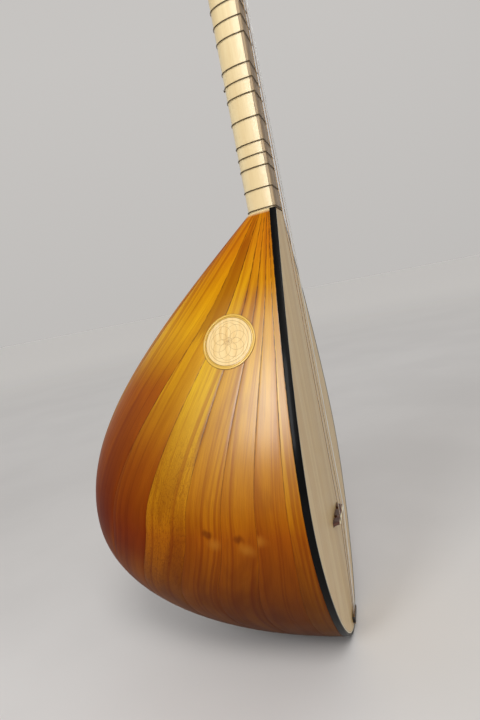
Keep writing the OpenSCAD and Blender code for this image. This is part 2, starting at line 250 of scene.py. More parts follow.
def joined(name, parts):
    """Several meshes as one piece."""
    bpy.ops.object.select_all(action="DESELECT")
    for p in parts:
        p.select_set(True)
    bpy.context.view_layer.objects.active = parts[0]
    bpy.ops.object.join()
    parts[0].name = name
    return parts[0]


def on(obj, body, slot, *nodes):
    """Puts a piece on its body and hides the CAD nodes that it stands for. The slot is not used."""
    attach(obj, body)
    if nodes:
        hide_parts(*nodes)


def part(node, slot, rings, material, **attributes):
    """A loft that rides the instrument and stands for the CAD node of the same name."""
    on(loft(f"look_{node}", rings, material, **attributes), ROOT, slot, node)


def run_of(points):
    return np.concatenate([[0], np.cumsum(np.linalg.norm(np.diff(points, axis=0), axis=1))])


def moved(points, matrix):
    m = np.array(matrix)
    return np.asarray(points, float) @ m[:3, :3].T + m[:3, 3]


def tube(name, path, radius, material, sides=10, ring=False):
    """A round thread along a path, with its run and turn as the grain."""
    path = np.asarray(path, float)
    tangent = unit(np.roll(path, -1, 0) - np.roll(path, 1, 0) if ring else np.gradient(path, axis=0))
    turn = circle(sides)
    side, rings = np.cross(tangent[0], [0.31, 0.29, 0.9]), []
    for p, t in zip(path, tangent):
        side = unit(side - t * np.dot(side, t))
        rings.append(p + radius * (np.cos(turn)[:, None] * side + np.sin(turn)[:, None] * np.cross(t, side)))
    along = np.repeat(run_of(path)[:, None], sides, 1)
    return loft(name, rings, material, ring, grain=xyz(along, turn / (2 * np.pi), 0))


def lathe(profile, sides, ring):
    """Points of a turned shape about +Z. profile is (radius, height), a closed loop if ring."""
    profile = np.asarray(profile, float)
    turn, reach = circle(sides)[:, None], profile[:, 0]
    points = xyz(reach * np.cos(turn), reach * np.sin(turn), profile[:, 1])
    return points if ring else points.transpose(1, 0, 2)


def turned(name, profile, matrix, material, sides=40, ring=False):
    """A lathe-turned piece with its profile in millimetres."""
    points = lathe(profile, sides, ring) * MM
    return loft(name, moved(points, matrix), material, ring, grain=points[..., [2, 0, 1]])


def round_box(x0, x1, y0, y1, radius, steps=3):
    """The outline of a rectangle with round corners."""
    turn = np.radians(np.linspace(0, 90, steps + 1) + 90 * np.arange(4)[:, None])
    x = np.array([x1 - radius, x0 + radius, x0 + radius, x1 - radius])[:, None]
    y = np.array([y1 - radius, y1 - radius, y0 + radius, y0 + radius])[:, None]
    return xyz(x + radius * np.cos(turn), y + radius * np.sin(turn)).reshape(-1, 2)


# ---- material helpers ----
def srgb(code):
    """Six hex digits as a colour in the renderer's own scale."""
    values = [int(code[i:i + 2], 16) / 255 for i in (0, 2, 4)]
    return tuple(v / 12.92 if v <= 0.04045 else ((v + 0.055) / 1.055) ** 2.4 for v in values)


class Nodes:
    """Adds shader nodes to a material or world. Most methods give the new node's output."""

    def __init__(self, owner, shader):
        owner.use_nodes = True
        self.owner, self.tree = owner, owner.node_tree
        self.shader = self.tree.nodes[shader].inputs

    def feed(self, socket, value):
        """Sets a socket, or links it to another node."""
        if isinstance(value, bpy.types.NodeSocket):
            self.tree.links.new(value, socket)
        else:
            socket.default_value = value

    def add(self, kind, props=None, **inputs):
        """A node. i0, i1 and so on are numbered inputs, and _ in a name stands for a space."""
        node = self.tree.nodes.new("ShaderNode" + kind)
        for key, value in (props or {}).items():
            setattr(node, key, value)
        for key, value in inputs.items():
            self.feed(node.inputs[int(key[1:]) if key[1:].isdigit() else key.replace("_", " ")], value)
        return node

    def calc(self, operation, a, b=0.0, c=0.0, clamp=False):
        props = {"operation": operation, "use_clamp": clamp}
        return self.add("Math", props, i0=a, i1=b, i2=c).outputs[0]

    def times(self, a, b):
        return self.calc("MULTIPLY", a, b)

    def vector(self, operation, a, b=(0, 0, 0)):
        """An operation on vectors, which for a length or a dot product gives a number."""
        node = self.add("VectorMath", {"operation": operation}, i0=a, i1=b)
        return node.outputs["Value" if operation in ("LENGTH", "DOT_PRODUCT") else "Vector"]

    def ramp(self, factor, *stops, kind="EASE"):
        """A ramp of grey or of colour: stops are (place, value), from 0 to 1."""
        node = self.add("ValToRGB", Fac=factor)
        node.color_ramp.interpolation = kind
        elements = node.color_ramp.elements
        while len(elements) < len(stops):
            elements.new(0.5)
        for element, (place, value) in zip(elements, stops):
            element.position = place
            element.color = (*value, 1) if isinstance(value, tuple) else (value, value, value, 1)
        return node.outputs["Color"]

    def rise(self, factor, start, end):
        return self.ramp(factor, (start, 0.0), (end, 1.0))

    def mix(self, factor, a, b, blend="MIX"):
        """A mix of two colours. A colour is a node's output, hex digits or three numbers."""
        node = self.add("Mix", {"data_type": "RGBA", "blend_type": blend}, i0=factor)
        for index, value in ((6, a), (7, b)):
            value = srgb(value) if isinstance(value, str) else value
            self.feed(node.inputs[index], (*value, 1) if isinstance(value, tuple) else value)
        return node.outputs[2]

    def stain(self, colour, code, share, mask, start, end):
        """Lays a second colour on where the mask rises from start to end."""
        return self.mix(self.times(self.rise(mask, start, end), share), colour, code)

    def noise(self, vector, *stretch, detail=3, rough=0.5, distortion=0.0):
        """Noise of a vector that is stretched along each axis first."""
        return self.add("TexNoise", Vector=self.vector("MULTIPLY", vector, stretch), Scale=1.0,
                        Detail=detail, Roughness=rough, Distortion=distortion).outputs[0]

    def attribute(self, name="grain", output="Vector"):
        return self.add("Attribute", {"attribute_name": name}).outputs[output]

    def axes(self, vector):
        return self.add("SeparateXYZ", i0=vector).outputs[:3]

    def place(self):
        return self.add("TexCoord").outputs["Object"]

    def finish(self, colour, rough, height, depth):
        """Links colour, a roughness that varies about rough, and a bump of depth millimetres."""
        self.feed(self.shader["Base Color"], colour)
        worn = self.noise(self.place(), 60, 60, 60, detail=2)
        self.feed(self.shader["Roughness"], self.calc("MULTIPLY_ADD", worn, 0.16, rough - 0.08))
        bump = self.add("Bump", Height=height, Distance=depth * MM, Strength=1.0)
        self.feed(self.shader["Normal"], bump.outputs[0])
        return self.owner


def new_material(name, **settings):
    n = Nodes(bpy.data.materials.new(name), "Principled BSDF")
    for key, value in settings.items():
        n.shader[key.replace("_", " ")].default_value = value
    return n


# ---- materials ----
# What the bowl's colour is multiplied by, at shares of its height: redder and darker at the tail, partly the
# wood's deeper colour and partly painted shade of the underside
BOWL_TINT_AND_PAINTED_SHADE = ((0.05, (0.11, 0.07, 0.08)), (0.2, (0.195, 0.105, 0.08)), (0.37, (0.4, 0.215, 0.13)),
             (0.5, (0.56, 0.48, 0.29)), (0.66, (0.77, 0.86, 0.5)), (0.78, (0.75, 0.79, 0.4)),
             (0.93, (0.63, 0.44, 0.2)))
SEAM_REACH = 0.8 * MM
RIM_REACH = 2 * MM


def bowl_wood():
    """Lacquered mulberry-like wood: amber with gold and brown streaks, darker towards the tail partly as
    painted shade, with a painted sheen and painted highlights by the knots.
    """
    n = new_material("bowl_wood", Coat_Roughness=0.3)
    grain = n.attribute()
    bright, fleck, pale = n.axes(n.attribute("tone"))
    shade, heart, band = n.axes(n.attribute("dark"))
    height = n.calc("DIVIDE", n.axes(n.place())[2], BOWL_LEN)
    broad = n.noise(grain, 2.4, 70, 41, detail=2, distortion=0.25)
    bands = n.noise(grain, 1.8, 200, 67, detail=2, distortion=0.15)
    fibres = n.noise(grain, 45, 2400, 90, detail=2)
    wander = n.calc("SUBTRACT", n.noise(grain, 22, 150, 41, detail=2), 0.5)
    colour = n.mix(n.rise(broad, 0.34, 0.66), "e09412", "f2ad18")
    colour = n.mix(bright, colour, "f8bc1e")
    cloud = n.rise(n.noise(grain, 9, 30, 41, distortion=0.6), 0.45, 0.68)
    cloud = n.times(cloud, n.ramp(height, (0.4, 0.45), (0.75, 0.2)))
    colour = n.mix(cloud, colour, "a85c0c")
    colour = n.stain(colour, "b8680c", 0.6, bands, 0.48, 0.66)
    colour = n.stain(colour, "9a520a", 0.28, fibres, 0.46, 0.7)

    # heartwood with a frayed edge, then the brown streaks beside some joints
    frayed = n.calc("MULTIPLY_ADD", n.noise(grain, 40, 700, 41, detail=2), 0.9,
                    n.calc("MULTIPLY_ADD", wander, 0.4, -0.45))
    frayed = n.calc("MULTIPLY_ADD", frayed, n.calc("GREATER_THAN", heart, 0.0), n.times(heart, 0.8))
    colour = n.stain(colour, "a86610", 0.7, frayed, 0.3, 0.55)
    streaks = n.times(band, n.calc("MULTIPLY_ADD", wander, 1.4, 0.85))
    colour = n.mix(n.calc("MULTIPLY", streaks, 0.8, clamp=True), colour, "a4560c")

    # short curled flecks, and the small knots, each with a painted highlight beside it
    worms = n.calc("SUBTRACT", n.noise(grain, 150, 330, 90, detail=1, distortion=1.8), 0.5)
    worms = n.ramp(n.calc("ABSOLUTE", worms), (0.0, 1.0), (0.07, 0.0))
    colour = n.mix(n.times(worms, n.times(fleck, 0.5)), colour, "9a560c")
    ragged = n.add("CombineXYZ", i0=n.times(wander, 1.6), i1=wander).outputs[0]
    knot = n.vector("ADD", n.attribute("knot"), ragged)
    colour = n.mix(n.ramp(n.vector("LENGTH", knot), (0.25, 0.65), (1.0, 0.0)), colour, "8a4a0a")
    # painted highlight: a pale spot beside each knot, the lit side of a small bump
    glow = n.calc("DIVIDE", n.vector("LENGTH", n.vector("ADD", knot, (1.7, 0.7, 0))), 1.5)
    colour = n.mix(n.ramp(glow, (0.0, 0.8), (1.0, 0.0)), colour, "ffcf50")

    # darker staves, the tint by height with its painted shade, the seams, the pale end at the neck and the
    # painted sheen
    colour = n.mix(shade, colour, n.mix(1.0, colour, (0.5, 0.23, 0.15), "MULTIPLY"))
    # partly painted shade: the tint darkens and reddens the colour towards the tail, where the underside
    # gets little light
    colour = n.mix(1.0, colour, n.ramp(height, *BOWL_TINT_AND_PAINTED_SHADE, kind="LINEAR"), "MULTIPLY")
    dashes = n.ramp(n.noise(grain, 130, 30, 41, detail=2), (0.42, 1.0), (0.6, 0.2))
    dashes = n.times(dashes, n.ramp(height, (0.4, 0.3), (0.62, 1.0)))
    edge = n.calc("DIVIDE", n.attribute("edge", "Fac"), SEAM_REACH)
    colour = n.mix(n.times(n.ramp(edge, (0.2, 0.85), (0.75, 0.0)), dashes), colour, "3a1a06")
    colour = n.mix(pale, colour, "ead6a4")
    sheen = n.attribute("sheen", "Fac")
    # painted sheen: a pale grey-tan mixed into the colour where the coat is glossiest
    colour = n.mix(n.times(sheen, 0.14), colour, "c8b29c")
    n.feed(n.shader["Coat Weight"], sheen)
    n.feed(n.shader["Specular IOR Level"], n.calc("MULTIPLY_ADD", sheen, 0.25, 0.03))
    return n.finish(colour, 0.42, fibres, 0.008)


def spruce():
    """Straight-grained board in satin varnish, with a pale line and a darker seam at its rim."""
    n = new_material("soundboard_spruce", Coat_Weight=0.25, Coat_Roughness=0.3)
    grain = n.attribute()
    rim = n.calc("DIVIDE", n.attribute("rim", "Fac"), RIM_REACH)
    rings = n.noise(grain, 1.6, 620, 50, detail=2)
    fibres = n.noise(grain, 45, 3000, 50, detail=2)
    colour = n.mix(n.rise(n.noise(grain, 2.0, 45, 50), 0.35, 0.65), "dfc590", "d2b278")
    colour = n.stain(colour, "b58d55", 0.55, rings, 0.5, 0.68)
    colour = n.mix(n.times(fibres, 0.2), colour, "a9834f")
    colour = n.mix(n.ramp(rim, (0.5, 1.0), (0.55, 0.0)), colour, "efe2c2")
    seam = n.calc("ABSOLUTE", n.calc("SUBTRACT", rim, 0.62))
    colour = n.mix(n.ramp(seam, (0.05, 0.8), (0.12, 0.0)), colour, "4a321c")
    return n.finish(colour, 0.4, fibres, 0.02)


def wood(name, light, dark, broad, lines, rough, coat, share, fine, depth):
    """Sawn wood: broad streaks and fine lines along the grain, in two tones."""
    n = new_material(name, Coat_Weight=coat, Coat_Roughness=0.15)
    grain = n.attribute()
    streaks = n.noise(grain, *broad, broad[1] * 0.6, distortion=0.3)
    fibres = n.noise(grain, *lines, lines[1] * 0.6, detail=2)
    tone = n.stain(light, dark, share, streaks, 0.4, 0.65)
    tone = n.stain(tone, dark, fine, fibres, 0.45, 0.65)
    return n.finish(tone, rough, fibres, depth)


def lacquer(name, colour, worn, coat, ior=1.5, metal=0.0):
    """A smooth finish with faint scuffs."""
    n = new_material(name, Coat_Weight=coat, Coat_Roughness=0.12, Specular_IOR_Level=0.3, IOR=ior,
                     Metallic=metal)
    scuffs = n.noise(n.place(), 300, 300, 60, detail=5, rough=0.6)
    return n.finish(n.stain(colour, worn, 0.5, scuffs, 0.5, 0.75), 0.35, scuffs, 0.01)


def bone():
    n = new_material("bone", Subsurface_Weight=0.1, Subsurface_Scale=0.002, Coat_Weight=0.2)
    veins = n.noise(n.place(), 90, 500, 500, detail=4)
    return n.finish(n.mix(n.rise(veins, 0.45, 0.65), "efe6cc", "dccfa8"), 0.35, veins, 0.01)


def twisted(name, light, dark, pitch, metal, rough):
    """Thread or wire whose strands wind round it once each pitch millimetres."""
    n = new_material(name, Metallic=metal)
    along, around, _ = n.axes(n.attribute())
    turns = n.calc("ADD", n.calc("DIVIDE", along, pitch * MM), around)
    wave = n.calc("MULTIPLY_ADD", n.calc("SINE", n.times(turns, 2 * math.pi)), 0.5, 0.5)
    soil = n.noise(n.place(), 240, 240, 240)
    tone = n.mix(n.times(soil, 0.4), n.mix(wave, dark, light), dark)
    return n.finish(tone, rough, wave, 0.06)


def fingerboard_wood():
    """Bare wood with a light polish, drawn darker and greyer than the neck as painted shade."""
    n = new_material("fingerboard_wood", Coat_Weight=0.1, Coat_Roughness=0.3)
    grain = n.attribute()
    streaks = n.noise(grain, 5, 260, 90, distortion=0.2)
    fibres = n.noise(grain, 40, 2200, 90, detail=2)
    # painted shade: the front face in dim grey-browns, with greyer patches, instead of the neck's pale wood
    colour = n.mix(n.rise(streaks, 0.38, 0.64), "b39a74", "8a6f4c")
    colour = n.mix(n.times(fibres, 0.3), colour, "6a5236")
    colour = n.stain(colour, "7c6a55", 0.4, n.noise(grain, 42, 95, 10), 0.5, 0.7)
    return n.finish(colour, 0.45, fibres, 0.03)


def medallion_wood(name, light, dark, circles):
    """Pale wood, golden outside the disc, with burnt circles: (radius, width, strength)."""
    n = new_material(name, Coat_Weight=0.5, Coat_Roughness=0.18)
    radius = n.attribute("radial", "Fac")
    grain = n.attribute()
    streaks = n.noise(grain, 25, 260, 60, distortion=0.3)
    fibres = n.noise(grain, 80, 2500, 90, detail=2)
    colour = n.mix(n.rise(streaks, 0.38, 0.66), light, dark)
    colour = n.mix(n.times(fibres, 0.2), colour, dark)
    colour = n.mix(n.rise(n.calc("DIVIDE", radius, 25 * MM), 0.862, 0.868), colour, "dcb24e")
    for at, width, strength in circles:
        line = n.calc("ABSOLUTE", n.calc("SUBTRACT", radius, at * MM))
        line = n.ramp(n.calc("DIVIDE", line, width * MM), (0.4, strength), (1.0, 0.0))
        colour = n.mix(line, colour, "6b3f12")
    return n.finish(colour, 0.35, fibres, 0.01)


def inner_wood():
    """Unfinished wood for the parts inside the bowl, by place instead of by grain."""
    n = new_material("inner_wood")
    streaks = n.noise(n.place(), 90, 90, 6)
    fibres = n.noise(n.place(), 1500, 1500, 40, detail=2)
    colour = n.mix(n.rise(streaks, 0.4, 0.6), "d9bd8b", "bd9a63")
    colour = n.mix(n.times(fibres, 0.35), colour, "9c7a48")
    return n.finish(colour, 0.6, fibres, 0.05)


BOWL = bowl_wood()
SPRUCE = spruce()
BLACK = lacquer("black_binding", "040404", "0e0d0c", 0.06, 1.2)
DARK = lacquer("dark_wood", "1c1512", "3a2c24", 0.3)
NECK_WOOD = wood("neck_wood", "f0dcae", "d9bb84", (3, 90), (45, 1800), 0.4, 0.25, 0.45, 0.22, 0.01)
FINGER = fingerboard_wood()
PEG_WOOD = wood("peg_wood", "5a3320", "2b150c", (18, 300), (60, 2200), 0.32, 0.4, 0.8, 0.5, 0.02)
BRIDGE_WOOD = wood("bridge_wood", "5e3524", "2e1710", (20, 400), (80, 2600), 0.4, 0.15, 0.7, 0.5,
                   0.03)
RIM_WOOD = medallion_wood("medallion_rim", "f4c868", "e2ae54", ((24.9, 0.5, 0.7), (22.9, 0.3, 0.3)))
FACE_WOOD = medallion_wood("medallion_face", "f0d49a", "e4c080",
                           ((21.6, 0.4, 0.7), (18.7, 0.35, 0.45)))
ARC_WOOD = wood("rosette", "b08a58", "8a6234", (20, 400), (80, 2600), 0.4, 0.3, 0.6, 0.4, 0.02)
BONE = bone()
CORD = twisted("fret_cord", "6e5a34", "3a2e18", 0.9, 0.0, 0.5)
WOUND_WIRE = twisted("wound_string", "c9a26a", "7b5a30", 0.35, 1.0, 0.3)
PLAIN_WIRE = lacquer("plain_string", "eceeee", "b4b6b6", 0.0, metal=0.6)
INNER = inner_wood()


# ---- bowl ----
PHI = np.linspace(0, np.pi, 361)
BOWL_ROWS = 150
FIRST_U, LAST_U = np.interp([CAP_TOP + GAP, BOWL_LEN - GAP], PLAN[:, 1], U)
HEIGHTS = np.interp(np.linspace(FIRST_U, LAST_U, BOWL_ROWS), U, PLAN[:, 1])


def fan(z):
    """Above 1 the joints lie nearer the middle stave, and below 1 nearer the rims."""
    t = (z - WIDEST_Z) / SPREAD_RISE
    ease = t
    if abs(t - 0.5) > 0.5 - SPREAD_EASE:
        ease = max(0, SPREAD_EASE + min(t, 1 - t)) ** 2 / (4 * SPREAD_EASE)
        ease = 1 - ease if t > 0.5 else ease
    below = max(0, WIDEST_Z - z) / (100 * MM)
    return 1 - NECK_SPREAD * ease + TAIL_DRAW * (1 - math.exp(-0.77 * below ** 2))


def side_share(k, z):
    return max(0.014 * k, (1 - (1 - 2 * sum(STAVE_WIDTHS[:k]) / ALL_WIDTHS) ** fan(z)) / 2)


def joint_at(k, z, girth):
    """Share of the girth at height z where joint k lies."""
    if k > STAVES / 2:
        return 1 - joint_at(STAVES - k, z, girth)
    rim = (BINDING_H + GAP / 2) / girth
    share = side_share(k, z)
    if k == STAVES // 2:
        share = side_share(k - 1, z)
        share += (1 - 2 * share) * STAVE_WIDTHS[k - 1] / (2 * STAVE_WIDTHS[k - 1] + STAVE_WIDTHS[k])
    return rim + (1 - 2 * rim) * share


class Girth:
    """The bowl's cross-section at one height."""

    def __init__(self, z):
        self.z = z
        self.points = section(reach_at(PLAN, z), reach_at(PROFILE, z), ROUNDNESS, PHI)
        self.run = run_of(self.points)
        self.length = self.run[-1]

    def surface(self, shares, inward):
        """Points at these shares of the girth, moved inwards and held behind the binding."""
        xy = [np.interp(np.asarray(shares) * self.length, self.run, self.points[:, i]) for i in (0, 1)]
        p = xyz(*xy, self.z)
        p = p - np.asarray(inward)[:, None] * bowl_normal(p)
        p[:, 1] = np.maximum(p[:, 1], BINDING_H + GAP)
        return p


GIRTHS = [Girth(z) for z in HEIGHTS]
# How gold and how brown each stave is, from the bass rim
BRIGHT = (0.8, 0.1, 0.1, 0.2, 0.85, 0.15, 0.25, 0.0, 0.2, 0.1, 0.3, 0.0, 0.15, 0.25, 0.3)
BROWN = (0, 0, 0, 0, 0, 0, 0, 0.45, 0.2, 0.6, 0, 0.3, 0, 0.15, 0)
# Heights and runs from the rim of the small knots, and their radii along and across the grain, in
# millimetres
KNOTS = ((160, 91), (155, 63), (161, 50))
KNOT_R = (5.5, 6.5)
# A stave's cross-section: points on its outside and inside, and the width and depth of its eased edge
OUTER, INNER_SIDE = 13, 5
EASE_W, EASE_D = 0.35 * MM, 0.08 * MM
# How much of the neck end is pale, and the way to a knot, in its radii, where none is near
PALE_END, FAR = 1.6 * MM, 9.0


def hump(z, start, rise, end, fall):
    """0 outside two heights and 1 between them, in millimetres."""
    return smooth((z / MM - start) / rise) * smooth((end - z / MM) / fall)


def streak(z, way, width, start, rise, end, fall):
    """A streak width millimetres wide, between two heights, by the way from its middle."""
    return hump(z, start, rise, end, fall) * np.exp(-(way / (width * MM)) ** 2)


def marks(k, z, place, a, b):
    """How brown, how much heartwood and how streaked stave k is, at runs from the rim at a height."""
    brown = {6: 0.9 * hump(z, 95, 50, 320, 110), 7: hump(z, 100, 70, 335, 60)}.get(k, BROWN[k - 1])
    heart = 0.0
    if k == 6:
        heart = smooth((z / MM - 300) / 38) * (1 - 0.5 * smooth((z / MM - 375) / 30))
    band = sum(streak(z, gap, 2.4, 205, 40, 372, 30)
               for joint, gap in ((k - 1, place - a), (k, b - place)) if joint in (3, 4))
    if k == 4:
        band = band + 0.7 * streak(z, place - a - 0.23 * (b - a), 1.6, 246, 25, 372, 40)
    if k == 2:
        band = band + 0.5 * streak(z, place - a - 0.75 * (b - a), 2.5, 225, 30, 330, 40)
    return xyz(place * 0 + brown, heart, band)


def knot_way(k, z, place):
    """The way from the nearest knot, as knot radii along and across the grain."""
    at = min(KNOTS, key=lambda q: (q[1] - place.mean() / MM) ** 2)
    far = 0.0 if k <= 5 else FAR
    return xyz((z / MM - at[0]) / KNOT_R[0], (place / MM - at[1]) / KNOT_R[1], far)


def stave(k):
    """Stave k with eased edges, and what the bowl's wood needs to know at each point."""
    rows, last, along = [], None, 0.0
    inward = np.concatenate([[EASE_D], np.zeros(OUTER - 2), [EASE_D], np.full(INNER_SIDE, STAVE_T)])
    for g in GIRTHS:
        a = joint_at(k - 1, g.z, g.length) * g.length + GAP / 2
        b = joint_at(k, g.z, g.length) * g.length - GAP / 2
        lip = min(EASE_W, (b - a) / 5)
        outer = np.concatenate([[a], np.linspace(a + lip, b - lip, OUTER - 2), [b]])
        place = np.concatenate([outer, np.linspace(b, a, INNER_SIDE)])
        ring = g.surface(place / g.length, inward)
        middle_point = ring[:OUTER].mean(0)
        along += 0.0 if last is None else np.linalg.norm(middle_point - last)
        last = middle_point
        edge = np.minimum(place - a, b - place)
        edge[OUTER:] = 1.0
        fleck = hump(g.z, 75, 30, 270, 70) if k == 5 else 0.0
        pale = float(g.z > BOWL_LEN - PALE_END)
        # the glossy band of the upper bowl: the coat's weight follows it, and so does a pale painted sheen
        # in the colour
        worn = 0.02 + 0.98 * hump(g.z, 165, 105, 360, 45)
        from_rim = 2 * np.minimum(place, g.length - place) / g.length
        rows.append({"rings": ring,
                     "grain": xyz(along, place - (a + b) / 2, 0.37 * k),
                     "edge": edge,
                     "dark": marks(k, g.z, place, a, b),
                     "knot": knot_way(k, g.z, place),
                     "tone": xyz(place * 0 + BRIGHT[k - 1], fleck, pale),
                     "sheen": worn * (0.12 + 0.88 * smooth((0.5 - from_rim) / 0.35))})
    columns = {key: [row[key] for row in rows] for key in rows[0]}
    part(f"stave_{k:02d}", "bowl_wood", columns.pop("rings"), BOWL, **columns)


for number in range(1, STAVES + 1):
    stave(number)


def tail_cap():
    """The lens of solid wood that closes the tail, let out round the sound hole's bush."""
    spokes, skin_steps, back_steps = 144, 12, 5
    first = BINDING_H + GAP
    inner_r, step_r, step_z = 11.7 * MM, 13.1 * MM, 2.1 * MM
    centre = np.array([0, HOLE_Y])
    profiles = []
    for angle in circle(spokes):
        way = np.array([math.cos(angle), math.sin(angle)])
        near, far = step_r, 0.2
        for _ in range(HALVINGS):
            mid = (near + far) / 2
            q = centre + mid * way
            inside = q[1] > first and outside(np.array([*q, CAP_TOP])) < 0
            near, far = (mid, far) if inside else (near, mid)
        reach = step_r + (near - step_r) * np.linspace(1, 0, skin_steps) ** 1.3
        start = xyz(*(centre + reach[:, None] * way).T, CAP_TOP)
        skin = onto_bowl(start, np.array([0, 0, -1.0]), 0.0, CAP_TOP - 1e-6)
        rim_z = max(skin[-1, 2], step_z)
        step = [[*(centre + r * way), z] for r, z in ((step_r, rim_z), (inner_r, rim_z), (inner_r, CAP_TOP))]
        back = centre + np.linspace(inner_r, reach[0], back_steps + 1)[1:, None] * way
        profiles.append(np.vstack([skin, step, xyz(*back.T, CAP_TOP)]))
    zero = np.zeros((spokes, skin_steps + 3 + back_steps))
    part("tail_cap", "bowl_wood", profiles, BOWL, ring=True, edge=zero + 1, dark=xyz(zero, 0, 0),
         knot=xyz(zero + FAR, FAR, FAR), tone=xyz(zero + 0.05, 0, 0), sheen=zero + 0.1)


tail_cap()

bush = turned("look_sound_hole_bush", [(9, 9.6), (9, 1.0), (9.3, 0.55), (9.9, 0.42), (12.3, 0.42),
              (12.8, 0.6), (13, 0.95), (13, 2), (11.5, 2), (11.5, 9.4), (11.1, 9.8), (9.3, 9.8)],
              Matrix.Translation((0, HOLE_Y, 0)), BLACK, 64, True)
on(bush, ROOT, "black_binding", "sound_hole_bush")


def binding():
    """The black strip round the rim: a rounded section swept along the outline."""
    half = PLAN[::4]
    path = np.vstack([half[::-1] * [-1, 1], half[1:]])
    t = unit(np.gradient(path, axis=0))
    inward = xyz(-t[:, 1], t[:, 0])
    profile = round_box(0, BINDING_T, 0, BINDING_H, 0.55 * MM, 4)
    rings = np.array([[(p[0] + i * n[0], y, p[1] + i * n[1]) for i, y in profile]
                      for p, n in zip(path, inward)])
    for end in (0, -1):
        rise = (BOWL_LEN - rings[end, :, 2]) / abs(t[end, 1])
        way = t[end] * np.sign(t[end, 1])
        rings[end, :, 0] += rise * way[0]
        rings[end, :, 2] += rise * way[1]
    part("binding", "black_binding", rings, BLACK)


binding()


def soundboard():
    """A sheet in rows from the tail to the neck, with its front's edges eased."""
    rows, columns = 170, 33
    edge = inset_outline(BINDING_T + GAP)
    full = inset_outline(0.0)
    heights = np.interp(np.linspace(0, 2, rows)[1:], np.linspace(0, 2, len(edge)), edge[:, 1])
    heights = np.clip(heights, edge[0, 1] + 0.05 * MM, BOWL_LEN)
    spread = np.linspace(-1, 1, columns)
    spread = (np.sin(spread * math.pi / 2) + spread) / 2
    rings, rims = [], []
    for z in heights:
        w = np.interp(z, edge[:, 1], edge[:, 0])
        x = spread * w
        lip = min(0.2 * MM, w / 4)
        front = xyz(x, np.where(np.abs(spread) > 0.999, lip, 0.0), z)
        rings.append(np.vstack([front, xyz(x[::-4], BOARD_T, z)]))
        ring_x = np.concatenate([x, x[::-4]])
        gap = np.hypot(np.abs(ring_x)[:, None] - full[None, ::8, 0], z - full[None, ::8, 1])
        rims.append(gap.min(1) - BINDING_T)
    part("soundboard", "soundboard_spruce", rings, SPRUCE, rim=rims)


soundboard()

for node in ("lining", "brace", "neck_block", "tail_block"):
    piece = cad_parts[node]
    piece.data.materials.clear()
    piece.data.materials.append(INNER)


# ---- medallion ----
MEDAL_Y, MEDAL_Z = 52 * MM, 312 * MM
MEDAL_SHARE = (1 - (MEDAL_Y / reach_at(PROFILE, MEDAL_Z)) ** ROUNDNESS) ** (1 / ROUNDNESS)
MEDAL_AT = np.array([-reach_at(PLAN, MEDAL_Z) * MEDAL_SHARE, MEDAL_Y, MEDAL_Z])
MEDAL_OUT = bowl_normal(MEDAL_AT)
MEDAL_UP = unit(np.array([0, 0, 1.0]) - MEDAL_OUT[2] * MEDAL_OUT)
MEDAL_SIDE = np.cross(MEDAL_UP, MEDAL_OUT)


def on_medallion(uvh):
    """Points (across, up, height above the bowl) in millimetres, laid onto the bowl's own curve."""
    uvh = np.asarray(uvh, float) * MM
    flat = MEDAL_AT + uvh[..., :1] * MEDAL_SIDE + uvh[..., 1:2] * MEDAL_UP
    shape = flat.shape
    skin = onto_bowl(flat.reshape(-1, 3), MEDAL_OUT, -12 * MM, 12 * MM)
    return (skin + uvh[..., 2].reshape(-1, 1) * bowl_normal(skin)).reshape(shape)


def medallion_part(node, slot, profile, material, ring):
    """A turned part of the medallion: profile is (radius, height) in millimetres."""
    uvh = lathe(profile, 96, ring)
    u, v = uvh[..., 0], uvh[..., 1]
    grain = xyz(v, u, 700.0 * ring) * MM
    part(node, slot, on_medallion(uvh), material, ring=ring, radial=np.hypot(u, v) * MM, grain=grain)


medallion_part("medallion_ring", "medallion_rim", [(25, -1.2), (25, 0.35), (24.8, 0.6), (24.3, 0.78),
               (23.6, 0.8), (23.1, 0.72), (22.85, 0.5), (22.8, -1.2)], RIM_WOOD, True)
medallion_part("medallion_disc", "medallion_face", [(0.05, -1.2), (12, -1.2), (22.7, -1.2), (22.7, 0.25),
               (22.5, 0.38), (21, 0.42), (19.1, 0.42), (18.85, 0.4), (18.7, 0.3), (18.55, 0.4),
               (18.3, 0.42), (15, 0.42), (10, 0.42), (5, 0.42), (0.05, 0.42)], FACE_WOOD, False)


def rosette():
    """A plain compass-drawn rosette: eight arcs round a small ring, let in as fine brown lines."""
    petals, petal_r, middle_r = 8, 8.4, 3.4
    circles = [(petal_r, 2 * math.pi * i / petals, petal_r) for i in range(petals)]
    turn = circle(72)
    parts = []
    for reach, angle, radius in [*circles, (0, 0, middle_r)]:
        u = reach * math.cos(angle) + radius * np.cos(turn)
        v = reach * math.sin(angle) + radius * np.sin(turn)
        parts.append(tube("arc", on_medallion(xyz(u, v, 0.4)), 0.11 * MM, ARC_WOOD, 6, True))
    on(joined("look_medallion_rosette", parts), ROOT, "medallion_face")


rosette()


# ---- neck and head ----
def neck_half(z):
    return NECK_HALF + (NUT_HALF_W - NECK_HALF) * (z - BOWL_LEN) / (NUT_Z - BOWL_LEN)


